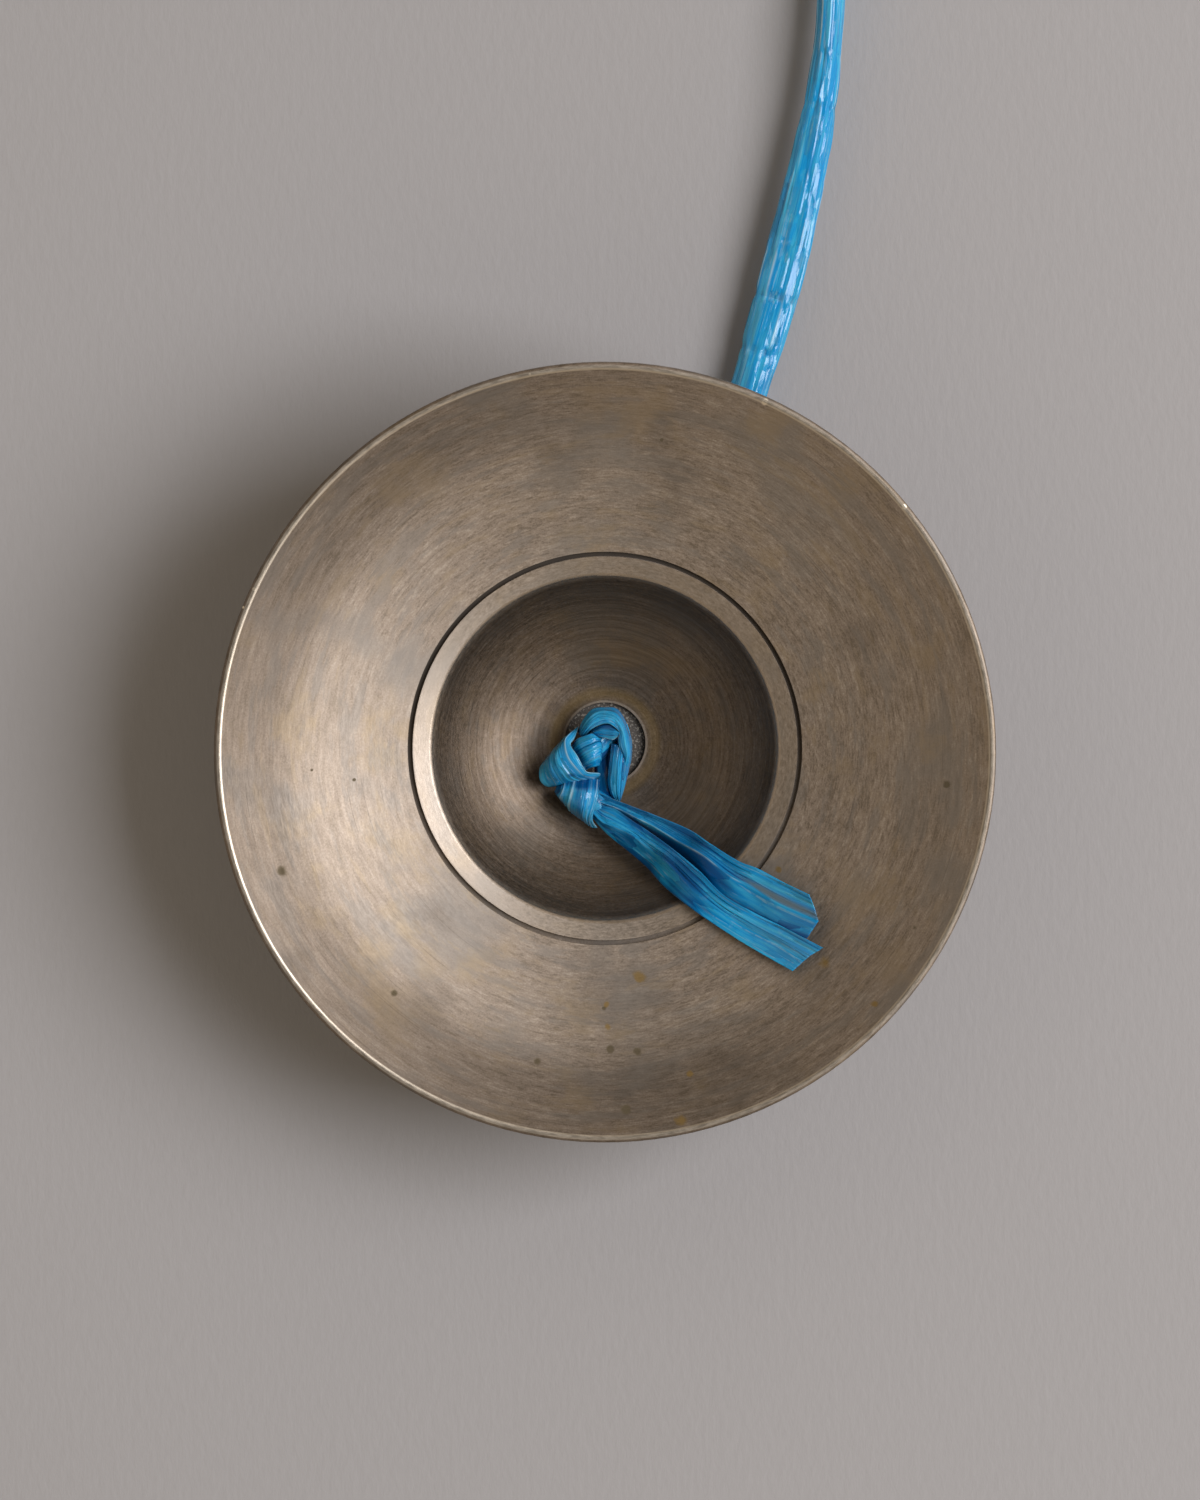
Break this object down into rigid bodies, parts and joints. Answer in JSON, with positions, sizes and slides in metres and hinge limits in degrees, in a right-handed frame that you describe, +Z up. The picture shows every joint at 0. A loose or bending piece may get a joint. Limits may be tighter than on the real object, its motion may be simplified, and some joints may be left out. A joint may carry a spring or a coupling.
{
  "type": "tingsha cymbals",
  "caption": "Tingsha: turned bronze hand cymbals with domed cups and flared dishes, tied together through their bosses by a knotted cord of blue plastic film.",
  "frame": {"origin": "midway between the two rims, on the surface that the cymbals lie on", "axes": "+Z up out of the hollow sides, +Y from the near cymbal to the far one, which is up in the picture, +X to the right in the picture"},
  "size_m": [0.0899, 0.1949, 0.0195],
  "materials": {
    "bronze": "satin, turned, with brown patina and worn edges",
    "film": "glossy pleated split film"
  },
  "bodies": {
    "cord": {"cord_lead": "film", "near_spread": "film", "far_spread": "film"},
    "near_knot": {"near_knot": "film", "near_lower_tail": "film", "near_upper_tail": "film"},
    "near_cymbal": {"near_cymbal": "bronze"},
    "far_knot": {"far_knot": "film", "far_lower_tail": "film", "far_upper_tail": "film"},
    "far_cymbal": {"far_cymbal": "bronze"}
  },
  "joints": [
    {"name": "near_swing", "type": "hinge", "parent": "cord", "child": "near_knot", "pos_m": [0.0125, -0.06397, 0.00245], "axis": [0.9135, -0.4067, 0], "range_deg": [0, 87], "deforming": ["near_spread"]},
    {"name": "near_spin", "type": "hinge", "parent": "near_knot", "child": "near_cymbal", "pos_m": [0.0125, -0.06397, 0.00245], "axis": [0, -0.0698, 0.9976], "continuous": true},
    {"name": "far_swing", "type": "hinge", "parent": "cord", "child": "far_knot", "pos_m": [-0.01147, 0.06505, 0.00245], "axis": [-0.3584, -0.9336, 0], "range_deg": [0, 87], "deforming": ["far_spread"]},
    {"name": "far_spin", "type": "hinge", "parent": "far_knot", "child": "far_cymbal", "pos_m": [-0.01147, 0.06505, 0.00245], "axis": [-0.0697, -0.0037, 0.9976], "continuous": true}
  ]
}
